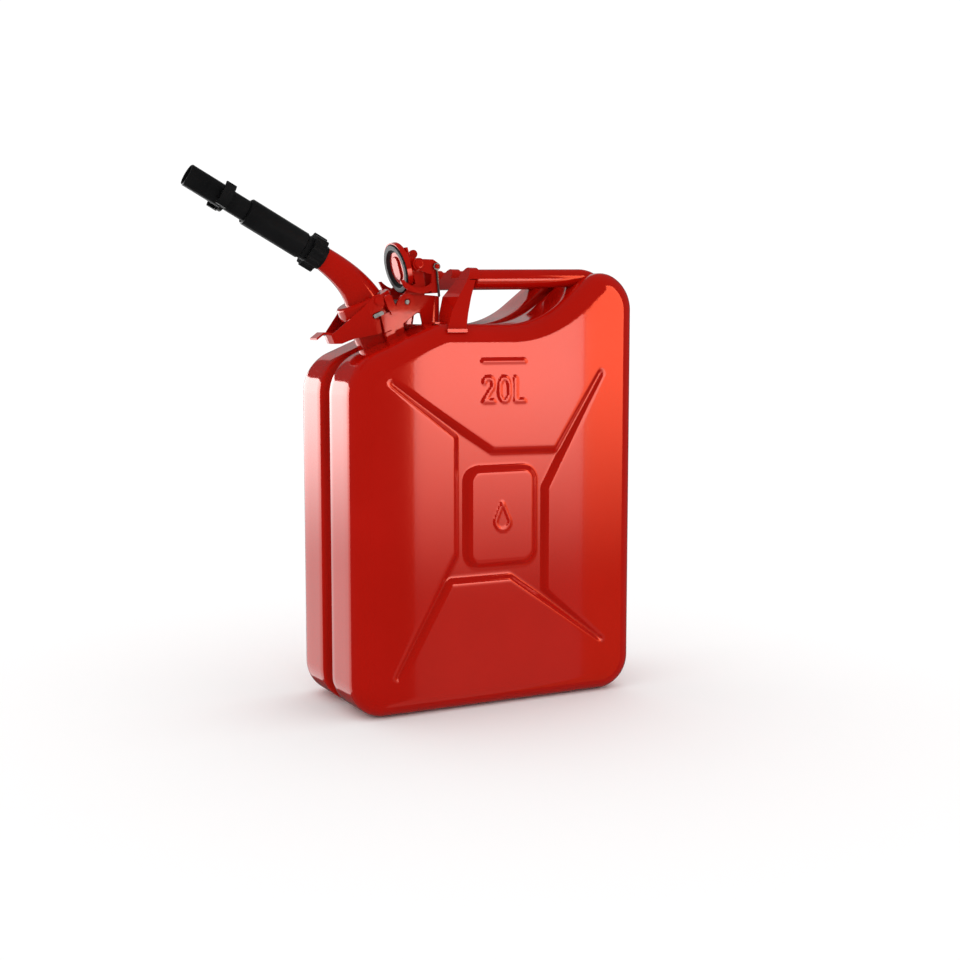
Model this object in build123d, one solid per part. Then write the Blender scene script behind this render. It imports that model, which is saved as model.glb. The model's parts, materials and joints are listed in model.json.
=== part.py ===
"""Pressed-steel 20 litre fuel can with a clamp-on pouring spout, millimetres.

The can stands on z = 0.  The parts are drawn about the middle of the can and then moved by
FRAME_SHIFT, so that the origin lies under the middle of the overall envelope, spout included.
+X runs along the can from the spout end to the rear, +Y across its thickness, +Z up.  The
filler neck stands square to the sloping shoulder.  The cap is swung back, and the spout sits
on the neck, held by its own clamp lever hooked under the two lug bars.
"""
from build123d import *
from math import asin, cos, degrees, radians, sin, sqrt
import os

FRAME_SHIFT = 74.5

# ---- driving dimensions: can body ----
LENGTH = 340.0
THICKNESS = 164.0
SHEET = 1.0
BOTTOM_CORNER_R = 38.0
FACE_ROUND_R = 20.0
FLAT_TOP_Z = 412.5
SHOULDER_ANGLE = 23.0
FRONT_CORNER_R = 48.0
REAR_CORNER_R = 42.0
REAR_CORNER_Z = 428.0
REAR_CORNER_TURN = 65.0
HUMP_R = 30.0
RISE_ANGLE = 38.0
RISE_R = 110.0
SHOULDER_BLEND_R = 40.0
GROOVE_HALF_WIDTH = 10.5
GROOVE_DEPTH = 11.0
BEAD_HEIGHT = 5.0
BEAD_HALF_WIDTH = 1.4

# ---- pressed X pattern of the broad faces ----
PATTERN_Z = 207.0
CHANNEL_DEPTH = 4.0
CHANNEL_WALL = 6.0
BADGE_LENGTH = 88.0
BADGE_HEIGHT = 115.0
BADGE_CORNER = 12.0

# ---- filler neck and closure, in the neck frame: u along the shoulder, w along the neck ----
NECK_FOOT = (-107.5, 395.8)
NECK_R = 24.5
NECK_WALL = 2.0
NECK_RIM_R = 26.5
NECK_RIM_W = 37.0
STRAP_IN = 25.0
STRAP_OUT = 27.5
STRAP_REAR_X = -43.0
WINDOW_OFFSET = 24.0
EAR_OUT = 30.4
FOOT_OUT = 33.6
LUG_U = (-9.0, 3.0)
LUG_W = (27.6, 31.6)
LUG_END_Y = 35.0
HINGE_UW = (34.5, 28.5)
HINGE_PIN_R = 3.0
RUN_CLEARANCE = 0.05
CAP_OPEN_ANGLE = 98.0
CAP_R = 28.0
CAP_BACK_W = 45.5
CAP_LEVER_UW = (-0.4, 52.0)
BAIL_IN = 22.3
BAIL_OUT = 24.7
CAP_LEVER_IN = 28.6
CAP_LEVER_OUT = 30.8
CAP_LEVER_RIVET_R = 3.0
SAFETY_EYE = (19.5, -2.0)
SAFETY_STUD_R = 1.6
SAFETY_PIN_Y = CAP_LEVER_OUT + 1.9

# ---- spout ----
BASE_R = 30.5
BASE_W = (33.0, 47.0)
SPOUT_LEVER_UW = (3.0, 43.0)
SPOUT_LEVER_IN = 31.2
SPOUT_LEVER_OUT = 33.2
SPOUT_RIVET_R = 2.6
SPOUT_LEVER_TRAVEL = 50
BARREL_FOOT = (-170.5, 480.9)
BARREL_ANGLE = 28.9
ELBOW_WALL = 1.3
SCREEN_R = 10.6
SCREEN_FLANGE_R = 15.5
TIP_S = 163.5
SLEEVE_S = (25.0, 94.0)
SLEEVE_R = 14.3
COLLAR_S = (5.0, 19.4)
COLLAR_R = 19.3
COLLAR_LOBE_R = 5.0
COLLAR_LOBES = 8
COLLAR_BEARING_R = 13.2
NOZZLE_R = 11.0
NOZZLE_TIP_R = 11.7
NOZZLE_BORE_R = 8.9
FLANGE_S = (117.5, 121.5)
HOOK_R = 21.8
HOOK_REACH = 7.0

# ---- handle ----
TUBE_R = 10.0
TUBE_WALL = 1.5
TUBE_Y = 43.0
TUBE_FRONT = (-26.0, 460.4)
TUBE_START_X = -16.5
TUBE_BEND = (116.0, 463.6)
TUBE_BEND_R = 34.0
TUBE_BEND_TURN = 40.0
HANDLE_SHEET = 2.0
LOBE_R = 12.2
LOBE_END_X = -12.5

neck_u = (cos(radians(SHOULDER_ANGLE)), 0, sin(radians(SHOULDER_ANGLE)))
neck_w = (-sin(radians(SHOULDER_ANGLE)), 0, cos(radians(SHOULDER_ANGLE)))
neck_origin = (NECK_FOOT[0], 0, NECK_FOOT[1])
neck_frame = Plane(origin=neck_origin, x_dir=neck_u, z_dir=neck_w)
neck_side = Plane(origin=neck_origin, x_dir=neck_u, z_dir=(0, -1, 0))
barrel_dir = (-cos(radians(BARREL_ANGLE)), 0, sin(radians(BARREL_ANGLE)))
barrel_frame = Plane(origin=(BARREL_FOOT[0], 0, BARREL_FOOT[1]), x_dir=(0, 1, 0), z_dir=barrel_dir)


def neck_point(u, w, y=0.0):
    """A point of the neck frame in can coordinates."""
    return Vector(*neck_origin) + Vector(*neck_u) * u + Vector(*neck_w) * w + Vector(0, y, 0)


hinge_point = neck_point(*HINGE_UW)
hinge_axis = Axis(hinge_point, (0, 1, 0))


def opened(shape):
    """Swing a closed-cap shape back about the hinge pin."""
    return shape.rotate(hinge_axis, CAP_OPEN_ANGLE)


def slab_pair(face, plane, near, far):
    """A flat plate on each side of the can, between |y| = near and |y| = far."""
    plate = plane * extrude(Pos(0, 0, near) * face, amount=far - near)
    return plate + mirror(plate, about=Plane.XZ)


def cross_bar(face, plane, half_width):
    """One plate running across from -half_width to +half_width."""
    return plane * extrude(face, amount=half_width, both=True)


def ring(outer_r, inner_r, low, high):
    """A plain ring about local Z."""
    tube = extrude(Pos(0, 0, low) * Circle(outer_r), amount=high - low)
    return tube - extrude(Pos(0, 0, low) * Circle(inner_r), amount=high - low)


def side_pins(plane, uw, radius, near, far):
    """A pair of round pins on one Y axis."""
    return slab_pair(Pos(*uw) * Circle(radius), plane, near, far)


# ---------------------------------------------------------------- can body

def can_profile():
    """Side outline of the can: x along, z up, drawn in local XY."""
    half = LENGTH / 2
    corner = BOTTOM_CORNER_R
    rear_centre = (half - REAR_CORNER_R, REAR_CORNER_Z)
    step = REAR_CORNER_R - HUMP_R
    turn = radians(REAR_CORNER_TURN)
    hump_centre = (rear_centre[0] + step * cos(turn), rear_centre[1] + step * sin(turn))
    rise = radians(RISE_ANGLE)
    hump_end = (hump_centre[0] - HUMP_R * sin(rise), hump_centre[1] + HUMP_R * cos(rise))
    rise_end_z = FLAT_TOP_Z + RISE_R * (1 - cos(rise))
    rise_end = (hump_end[0] - (hump_end[1] - rise_end_z) / sin(rise) * cos(rise), rise_end_z)
    rise_centre = (rise_end[0] - RISE_R * sin(rise), FLAT_TOP_Z + RISE_R)
    slope = radians(SHOULDER_ANGLE)
    front_centre_x = -half + FRONT_CORNER_R
    front_end_x = front_centre_x - FRONT_CORNER_R * sin(slope)
    front_end_z = NECK_FOOT[1] + (front_end_x - NECK_FOOT[0]) * sin(slope) / cos(slope)
    front_centre = (front_centre_x, front_end_z - FRONT_CORNER_R * cos(slope))
    blend_end_z = FLAT_TOP_Z - SHOULDER_BLEND_R * (1 - cos(slope))
    blend_end_x = NECK_FOOT[0] + (blend_end_z - NECK_FOOT[1]) * cos(slope) / sin(slope)
    blend_centre = (blend_end_x + SHOULDER_BLEND_R * sin(slope), FLAT_TOP_Z - SHOULDER_BLEND_R)
    edges = [
        Line((-half + corner, 0), (half - corner, 0)),
        CenterArc((half - corner, corner), corner, -90, 90),
        Line((half, corner), (half, REAR_CORNER_Z)),
        CenterArc(rear_centre, REAR_CORNER_R, 0, REAR_CORNER_TURN),
        CenterArc(hump_centre, HUMP_R, REAR_CORNER_TURN, 90 + RISE_ANGLE - REAR_CORNER_TURN),
        Line(hump_end, rise_end),
        CenterArc(rise_centre, RISE_R, RISE_ANGLE - 90, -RISE_ANGLE),
        Line((rise_centre[0], FLAT_TOP_Z), (blend_centre[0], FLAT_TOP_Z)),
        CenterArc(blend_centre, SHOULDER_BLEND_R, 90, SHOULDER_ANGLE),
        Line((blend_end_x, blend_end_z), (front_end_x, front_end_z)),
        CenterArc(front_centre, FRONT_CORNER_R, 90 + SHOULDER_ANGLE, 90 - SHOULDER_ANGLE),
        Line((-half, front_centre[1]), (-half, corner)),
        CenterArc((-half + corner, corner), corner, 180, 90),
    ]
    return make_face(Wire(edges))


def rounded_half(outline, near, far, radius):
    """Half a can between |y| = near and far, its broad face edge rounded."""
    block = extrude(Pos(0, 0, near) * outline, amount=far - near)
    return fillet(block.faces().sort_by(Axis.Z)[-1].edges(), radius)


def inset_polygon(points, distance):
    """Move every side of a counter-clockwise polygon inward by distance."""
    lines = []
    count = len(points)
    for i in range(count):
        a = Vector(*points[i])
        b = Vector(*points[(i + 1) % count])
        along = (b - a).normalized()
        inward = Vector(-along.Y, along.X)
        lines.append((a + inward * distance, along))
    corners = []
    for i in range(count):
        p, d = lines[i - 1]
        q, e = lines[i]
        reach = ((q.X - p.X) * e.Y - (q.Y - p.Y) * e.X) / (d.X * e.Y - d.Y * e.X)
        corners.append((p.X + d.X * reach, p.Y + d.Y * reach))
    return corners


def channel_points():
    """Outline of the X channel, counter-clockwise about the middle of the pattern."""
    half = [(-127, -153), (-62, -71), (12, -69), (127, -146), (56, -83), (56, 25)]
    return half + [(-x, -z) for x, z in half]


def tapered_block(points, wall, face_depth, floor_depth):
    """A polygon narrowing by wall between two depths below the broad face."""
    top = Pos(0, 0, face_depth) * make_face(Polyline(*points, close=True))
    low = Pos(0, 0, floor_depth) * make_face(Polyline(*inset_polygon(points, wall), close=True))
    return loft([top, low], ruled=True)


def pattern_cut(sheet):
    """The X channel with the badge island left standing, grown by the sheet thickness."""
    half_face = THICKNESS / 2
    channel = tapered_block(inset_polygon(channel_points(), -sheet), CHANNEL_WALL,
                            half_face, half_face - CHANNEL_DEPTH - sheet)
    long = BADGE_LENGTH / 2 - sheet
    tall = BADGE_HEIGHT / 2 - sheet
    cut = BADGE_CORNER
    badge = [
        (-long + cut, -tall), (long - cut, -tall), (long, -tall + cut), (long, tall - cut),
        (long - cut, tall), (-long + cut, tall), (-long, tall - cut), (-long, -tall + cut),
    ]
    island = tapered_block(inset_polygon(badge, CHANNEL_WALL), -CHANNEL_WALL,
                           half_face, half_face - CHANNEL_DEPTH - sheet)
    return Pos(0, PATTERN_Z, 0) * (channel - island)


def solid_half():
    """The outer form of one half can, with the seam groove and pressed pattern."""
    outline = can_profile()
    block = rounded_half(outline, 0, THICKNESS / 2, FACE_ROUND_R)
    groove = extrude(outline, amount=GROOVE_HALF_WIDTH)
    groove -= extrude(offset(outline, amount=-GROOVE_DEPTH), amount=GROOVE_HALF_WIDTH)
    return block - groove - pattern_cut(0)


def hollow_half():
    """The space inside one half can."""
    outline = can_profile()
    wide = rounded_half(offset(outline, amount=-SHEET), GROOVE_HALF_WIDTH + SHEET,
                        THICKNESS / 2 - SHEET, FACE_ROUND_R - SHEET)
    narrow = extrude(offset(outline, amount=-GROOVE_DEPTH - SHEET), amount=GROOVE_HALF_WIDTH + SHEET)
    return wide + narrow - pattern_cut(SHEET)


def neck_cylinder(radius, low, high):
    """A solid cylinder on the neck axis."""
    return neck_frame * extrude(Pos(0, 0, low) * Circle(radius), amount=high - low)


left_solid = Plane.XZ * solid_half()
can_envelope = left_solid + mirror(left_solid, about=Plane.XZ)


def make_shells():
    """Two pressed halves, each with the half hole for the filler neck."""
    left = left_solid - Plane.XZ * hollow_half() - neck_cylinder(NECK_R, -30, 30)
    return left, mirror(left, about=Plane.XZ)


def make_seam_bead():
    """The edge flanges of both halves, welded together in the groove."""
    outline = can_profile()
    inner = offset(outline, amount=-GROOVE_DEPTH)
    outer = offset(outline, amount=-GROOVE_DEPTH + BEAD_HEIGHT)
    bead = extrude(outer, amount=BEAD_HALF_WIDTH, both=True)
    bead -= extrude(inner, amount=BEAD_HALF_WIDTH, both=True)
    return Plane.XZ * bead - neck_cylinder(NECK_R, -30, 30)


# ---------------------------------------------------------------- neck and closure bracket

def make_filler_neck():
    """Drawn neck with a rolled rim."""
    neck = ring(NECK_R, NECK_R - NECK_WALL, -14, NECK_RIM_W)
    rim = ring(NECK_RIM_R, NECK_R - NECK_WALL, NECK_RIM_W - 4, NECK_RIM_W)
    rim = fillet(rim.edges().filter_by(GeomType.CIRCLE).sort_by(SortBy.RADIUS)[-2:], 1.5)
    return neck_frame * (neck + rim)


def make_breather_tube():
    """Air tube from the neck mouth to the air space under the handle."""
    start = neck_point(16.5, NECK_RIM_W - 3)
    turn = neck_point(16.5, -22)
    end = Vector(70, 0, 392)
    path = FilletPolyline(start, turn, end, radius=18)
    section = Plane(origin=start, z_dir=path % 0) * (Circle(5) - Circle(4))
    return sweep(section, path=path)


def closure_side_outline():
    """Side view of the closure strap in the neck frame."""
    post = Pos(4.5, 12) * Rectangle(9, 40)
    lug_ear = Pos(0.5, 29) * Rectangle(17, 7)
    hinge_end = Pos(*HINGE_UW) * Circle(9)
    plate = make_face(Polyline((7, -10), (7, 12), (14, 20), (28, 34.8), (46, 33), (84, 14), (84, -45),
                               close=True))
    return post + lug_ear + hinge_end + plate


def strap_window():
    """Rounded triangular opening in the side of the strap, down to the shoulder."""
    window = make_face(Polyline((22, 9), (41.5, 13.8), (45.2, 12.0), (43.2, 0.5), (36, -8), (18, -8),
                                close=True))
    return fillet(window.vertices(), 1.2)


def ear_outline():
    """Thick band from the foot on the shoulder up past the lug to the hinge pin."""
    band = make_face(Polyline((-3.5, -2), (8, -2), (10.5, 10), (15, 13.5), (20, 17), (26, 17.6), (35, 21.6),
                              (41, 24), (41, 34), (30, 36), (24, 32.5), (16, 25.5), (12, 27), (0.5, 27),
                              close=True))
    return fillet(band.vertices(), 1.0) + Pos(*HINGE_UW) * Circle(9)


def make_closure_bracket():
    """One strap bent round behind the neck: lug ears in front, hinge ears behind."""
    front_x = -135.0
    middle_x = (front_x + STRAP_REAR_X) / 2
    span = STRAP_REAR_X - front_x
    wide = Pos(middle_x, 0) * RectangleRounded(span, 2 * STRAP_OUT, 14)
    thin = STRAP_OUT - STRAP_IN
    inner = Pos(middle_x, 0) * RectangleRounded(span - 2 * thin, 2 * STRAP_IN, 14 - thin)
    strap = Pos(0, 0, 350) * extrude(wide - inner, amount=150)
    strap = strap & cross_bar(closure_side_outline(), neck_side, STRAP_OUT + 1)
    near_window = neck_side * extrude(strap_window(), amount=STRAP_OUT + 1)
    far_window = Pos(WINDOW_OFFSET, 0, 0) * mirror(near_window, about=Plane.XZ)
    strap -= near_window + far_window
    strap += slab_pair(ear_outline(), neck_side, STRAP_OUT - 0.5, EAR_OUT)
    strap += slab_pair(Pos(2, 3.5) * RectangleRounded(11, 10, 2), neck_side, STRAP_OUT, FOOT_OUT)
    strap += slab_pair(Pos(14.5, 36) * RectangleRounded(9, 17, 3.5), neck_side, EAR_OUT - 1.5, FOOT_OUT)
    strap += slab_pair(Pos(14.5, 27) * Rectangle(6, 8), neck_side, EAR_OUT - 1.5, FOOT_OUT - 1)
    strap -= can_envelope
    strap -= neck_cylinder(NECK_R, -30, NECK_RIM_W)
    strap -= side_pins(neck_side, HINGE_UW, HINGE_PIN_R, 0, 40)
    strap -= side_pins(neck_side, HINGE_UW, HINGE_PIN_R + 1.3, EAR_OUT - 0.8, EAR_OUT + 1)
    return strap - lug_shape() - make_seam_bead()


def lug_shape():
    """Two flat bars standing out from the strap ears, under which the levers hook."""
    length = LUG_U[1] - LUG_U[0]
    height = LUG_W[1] - LUG_W[0]
    middle = ((LUG_U[0] + LUG_U[1]) / 2, (LUG_W[0] + LUG_W[1]) / 2)
    bar = Pos(*middle) * RectangleRounded(length, height, 1.5)
    return slab_pair(bar, neck_side, STRAP_IN, LUG_END_Y)


def make_cap_hinge_pin():
    """Riveted pin through the hinge ears."""
    pin = cross_bar(Pos(*HINGE_UW) * Circle(HINGE_PIN_R), neck_side, EAR_OUT)
    ends = [edge for edge in pin.edges().filter_by(GeomType.CIRCLE)]
    return fillet(ends, 0.9)


# ---------------------------------------------------------------- cap, drawn closed and swung open

def make_cap_plate():
    """Round pressed dish."""
    dish = extrude(Pos(0, 0, 38.5) * Circle(CAP_R), amount=CAP_BACK_W - 38.5)
    dish = fillet(dish.edges().sort_by(Axis.Z)[-1], 2.2)
    dish -= extrude(Pos(0, 0, 38.5) * Circle(CAP_R - 1.2), amount=5.2)
    return opened(neck_frame * dish)


def make_cap_gasket():
    """Rubber ring in the dish."""
    gasket = ring(CAP_R - 1.3, 17.6, NECK_RIM_W, 43.7)
    low_edges = gasket.edges().group_by(Axis.Z)[0].sort_by(SortBy.RADIUS)
    gasket = chamfer(low_edges[0], 3.0)
    low_edges = gasket.edges().group_by(Axis.Z)[0].sort_by(SortBy.RADIUS)
    return opened(neck_frame * fillet(low_edges[-1], 1.6))


def make_gasket_retainer():
    """Plate with a raised middle that holds the gasket in."""
    plate = extrude(Pos(0, 0, 40.4) * Circle(17.4), amount=3.3)
    raised = extrude(Pos(0, 0, 38.6) * SlotOverall(26, 14), amount=1.8)
    return opened(neck_frame * (plate + fillet(raised.edges().group_by(Axis.Z)[0], 1.0)))


def make_cap_bail():
    """U-shaped carrier from the hinge pin to the lever rivets, over the cap's back."""
    u_rivet, w_rivet = CAP_LEVER_UW
    arm = make_face(Polyline(
        (29.5, 24), (40.5, 24), (40, 36), (30, 55), (u_rivet + 4, w_rivet + 6.5),
        (u_rivet - 4, w_rivet + 6.5),
        (-11, CAP_BACK_W + 0.1), (18.6, CAP_BACK_W + 0.1), (20.5, 38), close=True))
    arm += Pos(*HINGE_UW) * Circle(7.2)
    arm += Pos(*CAP_LEVER_UW) * Circle(6.3)
    arms = slab_pair(arm, neck_side, BAIL_IN, BAIL_OUT)
    arms -= side_pins(neck_side, HINGE_UW, HINGE_PIN_R + RUN_CLEARANCE, 0, 40)
    arms -= side_pins(neck_side, CAP_LEVER_UW, CAP_LEVER_RIVET_R, 0, 40)
    web = Pos(-1.5, CAP_BACK_W + 1.1) * Rectangle(38, 2.0)
    stem = Pos(-10, CAP_BACK_W + 8) * Rectangle(3.2, 15)
    lift_tab = Pos(-10.5, CAP_BACK_W + 16.5) * Circle(4.6)
    tab = cross_bar(lift_tab + stem, neck_side, 1.6)
    return opened(arms + cross_bar(web, neck_side, BAIL_IN) + tab)


def make_cap_lever_rivets():
    """Shouldered rivets that carry the cap lever on the bail."""
    shank = side_pins(neck_side, CAP_LEVER_UW, CAP_LEVER_RIVET_R, BAIL_IN - 1.0, CAP_LEVER_OUT + 0.2)
    shoulder = side_pins(neck_side, CAP_LEVER_UW, 5.0, BAIL_OUT, CAP_LEVER_IN - 0.2)
    inner_head = side_pins(neck_side, CAP_LEVER_UW, 4.2, BAIL_IN - 2.2, BAIL_IN)
    plate = Plane.XZ * Circle(5.2)
    head = fillet(extrude(plate, amount=2.6).edges().sort_by(Axis.Y)[0], 2.3)
    at = neck_point(*CAP_LEVER_UW, y=-CAP_LEVER_OUT - 0.2)
    dome = Pos(at.X, at.Y, at.Z) * head
    return opened(shank + shoulder + inner_head + dome + mirror(dome, about=Plane.XZ))


def opened_point(point):
    """Where a point of the closed cap goes when the cap is swung back."""
    arm = point - hinge_point
    turn = radians(CAP_OPEN_ANGLE)
    x = arm.X * cos(turn) + arm.Z * sin(turn)
    z = arm.Z * cos(turn) - arm.X * sin(turn)
    return hinge_point + Vector(x, arm.Y, z)


cap_lever_side = Plane(origin=opened_point(neck_point(*CAP_LEVER_UW)), x_dir=(1, 0, 0), z_dir=(0, -1, 0))


def cap_lever_outline():
    """C-shaped cheek: rivet eye on top, hook horn below, thumb leg behind."""
    eye = Circle(6.8)
    top = make_face(Polyline((-3, 5.8), (16.5, 5.6), (22.3, 2), (22, -10), (12, -10), (0, -6), close=True))
    leg = make_face(Polyline((14.5, -4), (22.3, 1.5), (21.5, -30), (14.5, -30), close=True))
    horn = Pos(1.5, -0.5) * Circle(30.3) - Circle(24.3)
    horn &= make_face(Polyline((-21, -17), (-13, -32), (21.5, -32), (22, -10), (14, -12), close=True))
    return eye + top + leg + horn


def make_cap_lever():
    """Two hooked cheeks joined by the thumb plate."""
    cheeks = slab_pair(cap_lever_outline(), cap_lever_side, CAP_LEVER_IN, CAP_LEVER_OUT)
    thumb = make_face(Polyline((20.2, 1.5), (22.3, 1.5), (21.5, -30), (19.4, -30), close=True))
    lever = cheeks + cross_bar(thumb, cap_lever_side, CAP_LEVER_OUT)
    lever -= side_pins(cap_lever_side, (0, 0), CAP_LEVER_RIVET_R + RUN_CLEARANCE, 0, 40)
    eye = cap_lever_side * extrude(Pos(*SAFETY_EYE, CAP_LEVER_OUT) * Circle(SAFETY_STUD_R), amount=4.4)
    button = cap_lever_side * extrude(Pos(*SAFETY_EYE, CAP_LEVER_OUT + 3.6) * Circle(2.4), amount=0.9)
    return lever + eye + button


def make_safety_pin():
    """Wire eye and straight shank, hanging on the lever's stud."""
    tip = (22.5, -34.0)
    across = tip[0] - SAFETY_EYE[0]
    length = sqrt(across ** 2 + (tip[1] - SAFETY_EYE[1]) ** 2)
    lean = degrees(asin(across / length))
    eye = Pos(*SAFETY_EYE, SAFETY_PIN_Y) * ring(3.9, SAFETY_STUD_R + RUN_CLEARANCE, -1.5, 1.5)
    shank = Pos(0, -3.2) * Rot(90, 0, 0) * extrude(Circle(1.35), amount=length - 3.2)
    shank = fillet(shank.edges().sort_by(Axis.Y)[0], 0.9)
    shank = Pos(*SAFETY_EYE, SAFETY_PIN_Y) * Rot(0, 0, lean) * shank
    return cap_lever_side * (eye + shank)


# ---------------------------------------------------------------- spout on the neck

def make_spout_base():
    """Pressed cup that covers the neck rim, with bosses for the lever rivets."""
    low, high = BASE_W
    cup = extrude(Pos(0, 0, low) * Circle(BASE_R), amount=high - low)
    cup = fillet(cup.edges().sort_by(Axis.Z)[-1], 4)
    cup -= extrude(Pos(0, 0, low) * Circle(BASE_R - 1.8), amount=NECK_RIM_W + 4 - low)
    cup -= extrude(Pos(0, 0, low) * Circle(SCREEN_FLANGE_R), amount=high - low)
    boss = side_pins(neck_side, SPOUT_LEVER_UW, 5.0, BASE_R - 3, SPOUT_LEVER_IN - 0.2)
    boss -= neck_cylinder(BASE_R - 1.0, low, high)
    base = neck_frame * cup + boss - side_pins(neck_side, SPOUT_LEVER_UW, SPOUT_RIVET_R, 0, 60)
    return base - loft(elbow_sections(0))


def make_spout_gasket():
    """Rubber ring pressed between the cup and the neck rim."""
    return neck_frame * ring(BASE_R - 2.2, 18.5, NECK_RIM_W, NECK_RIM_W + 4)


def elbow_sections(shrink):
    """Cross-sections of the elbow from the oval foot to the round barrel end."""
    foot = neck_point(0.5, BASE_W[1] - 0.2)
    end = Vector(BARREL_FOOT[0], 0, BARREL_FOOT[1])
    stations = [
        (foot, 116.0, 20.5, 17.0),
        (Vector(-133.5, 0, 451.0), 126.0, 17.6, 16.0),
        (Vector(-147.5, 0, 464.8), 137.5, 15.0, 14.6),
        (end, 180.0 - BARREL_ANGLE, 12.5, 12.5),
    ]
    faces = []
    for centre, heading, half_long, half_wide in stations:
        normal = (cos(radians(heading)), 0, sin(radians(heading)))
        plane = Plane(origin=centre, x_dir=(0, 1, 0), z_dir=normal)
        faces.append(plane * Ellipse(half_wide - shrink, half_long - shrink))
    return faces


def make_spout_elbow():
    """Tapered swept tube, oval at the foot and round at the barrel."""
    return loft(elbow_sections(0)) - loft(elbow_sections(ELBOW_WALL))


def make_spout_rivets():
    """Rivets that carry the clamp lever."""
    shank = side_pins(neck_side, SPOUT_LEVER_UW, SPOUT_RIVET_R, BASE_R - 1.5, SPOUT_LEVER_OUT + 0.2)
    head = side_pins(neck_side, SPOUT_LEVER_UW, 4.4, SPOUT_LEVER_OUT + 0.2, SPOUT_LEVER_OUT + 1.7)
    return shank + head


def spout_lever_plan(grow):
    """Plan of the bent lever strip: parallel beside the neck, closing in to the front."""
    half = [(20, SPOUT_LEVER_OUT - grow), (-13, SPOUT_LEVER_OUT - grow), (-45, 15.5 - grow * 0.9),
            (-52 + grow * 0.8, 10.5 - grow * 0.5), (-53.5 + grow, 0)]
    points = half + [(u, -y) for u, y in reversed(half[:-1])]
    plan = make_face(Polyline(*points, close=True))
    return fillet(plan.vertices().filter_by(lambda v: -50 < v.X < 0), 9)


def hook_slot():
    """Space that the lug bar sweeps through the lever's cheek as the lever lifts."""
    length = LUG_U[1] - LUG_U[0] + 1.2
    height = LUG_W[1] - LUG_W[0] + 1.2
    middle = ((LUG_U[0] + LUG_U[1]) / 2 - SPOUT_LEVER_UW[0], (LUG_W[0] + LUG_W[1]) / 2 - SPOUT_LEVER_UW[1])
    bar = Pos(*middle) * RectangleRounded(length, height, 1.8)
    slot = bar
    for turn in range(6, SPOUT_LEVER_TRAVEL + 1, 6):
        slot += Rot(0, 0, turn) * bar
    return Pos(*SPOUT_LEVER_UW) * slot


def spout_lever_outline():
    """Side view of the lever strip, with the slot that closes under the lug bar."""
    cheek = make_face(Polyline(
        (0, 49), (-7, 46), (-50, 27.8), (-56, 26.5), (-53, 17.5), (-46, 14.8), (-33, 15.2), (-10, 10.8),
        (-6.5, 11.5), (-4, 22), (2, 33), (8.5, 37), (8, 46), close=True))
    return cheek + Pos(*SPOUT_LEVER_UW) * Circle(6.4) - hook_slot()


def make_spout_lever():
    """Bent strip round the front of the neck, with its slots and the thumb tab."""
    strip = extrude(spout_lever_plan(0), amount=120, both=True)
    strip -= extrude(spout_lever_plan(SPOUT_LEVER_OUT - SPOUT_LEVER_IN), amount=120, both=True)
    lever = neck_frame * strip & cross_bar(spout_lever_outline(), neck_side, SPOUT_LEVER_OUT + 1)
    lever -= side_pins(neck_side, SPOUT_LEVER_UW, SPOUT_RIVET_R + RUN_CLEARANCE, 0, 60)
    tab = make_face(Polyline((-49.5, 27.4), (-51, 29.6), (-58, 33.0), (-68, 30.4), (-68.3, 28.4), (-58, 31.0),
                             (-53, 27.0), close=True))
    return lever + cross_bar(tab, neck_side, 10)


# ---------------------------------------------------------------- barrel, collar and nozzle

def make_lock_collar():
    """Turning ring with grip lobes."""
    low, high = COLLAR_S
    body = extrude(Pos(0, 0, low) * Circle(COLLAR_R - 2.0), amount=high - low)
    for i in range(COLLAR_LOBES):
        lobe = Rot(0, 0, 360 / COLLAR_LOBES * i) * Pos(COLLAR_R - COLLAR_LOBE_R, 0) * Circle(COLLAR_LOBE_R)
        body += extrude(Pos(0, 0, low) * lobe, amount=high - low)
    body -= extrude(Pos(0, 0, low) * Circle(COLLAR_BEARING_R + RUN_CLEARANCE), amount=high - low)
    return barrel_frame * body


def make_barrel_sleeve():
    """Fixed plastic barrel: collar bearing, then the guide for the sliding nozzle."""
    low, high = SLEEVE_S
    sleeve = ring(SLEEVE_R, NOZZLE_R + RUN_CLEARANCE, low, high)
    sleeve = chamfer(sleeve.edges().filter_by(GeomType.CIRCLE).sort_by(SortBy.RADIUS)[-2:], 1.2)
    bearing = ring(COLLAR_BEARING_R, NOZZLE_R + RUN_CLEARANCE, 0.1, low)
    stop = ring(NOZZLE_R + RUN_CLEARANCE, 7.6, 27, 30)
    return barrel_frame * (sleeve + bearing + stop)


def make_nozzle():
    """Sliding tube with the hooked flange that catches the filler opening."""
    tube = ring(NOZZLE_R, NOZZLE_BORE_R, 68, FLANGE_S[1])
    tip = ring(NOZZLE_TIP_R, NOZZLE_BORE_R, FLANGE_S[1], TIP_S)
    tip = chamfer(tip.edges().group_by(Axis.Z)[-1].sort_by(SortBy.RADIUS)[-1], 0.8)
    low, high = FLANGE_S
    band = Rectangle(25, 60)
    plate = extrude(Pos(0, 0, low) * ((Circle(HOOK_R) & band) + Circle(15)), amount=high - low)
    hooks = (Circle(HOOK_R) - Circle(HOOK_R - 3.4)) & band
    plate += extrude(Pos(0, 0, low) * hooks, amount=high - low + HOOK_REACH)
    plate -= extrude(Pos(0, 0, low) * Circle(NOZZLE_BORE_R), amount=20)
    return barrel_frame * Rot(0, 0, 90) * (tube + tip + plate)


def make_inner_tube():
    """Steel pouring tube with outlet ports near the valve head."""
    tube = ring(7.5, 6.3, -4, 150)
    for i in range(4):
        port = Rot(0, 0, 90 * i) * Pos(0, 0, 144) * Rot(0, 90, 0) * extrude(Circle(2.6), amount=10)
        tube -= port
    return barrel_frame * tube


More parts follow.
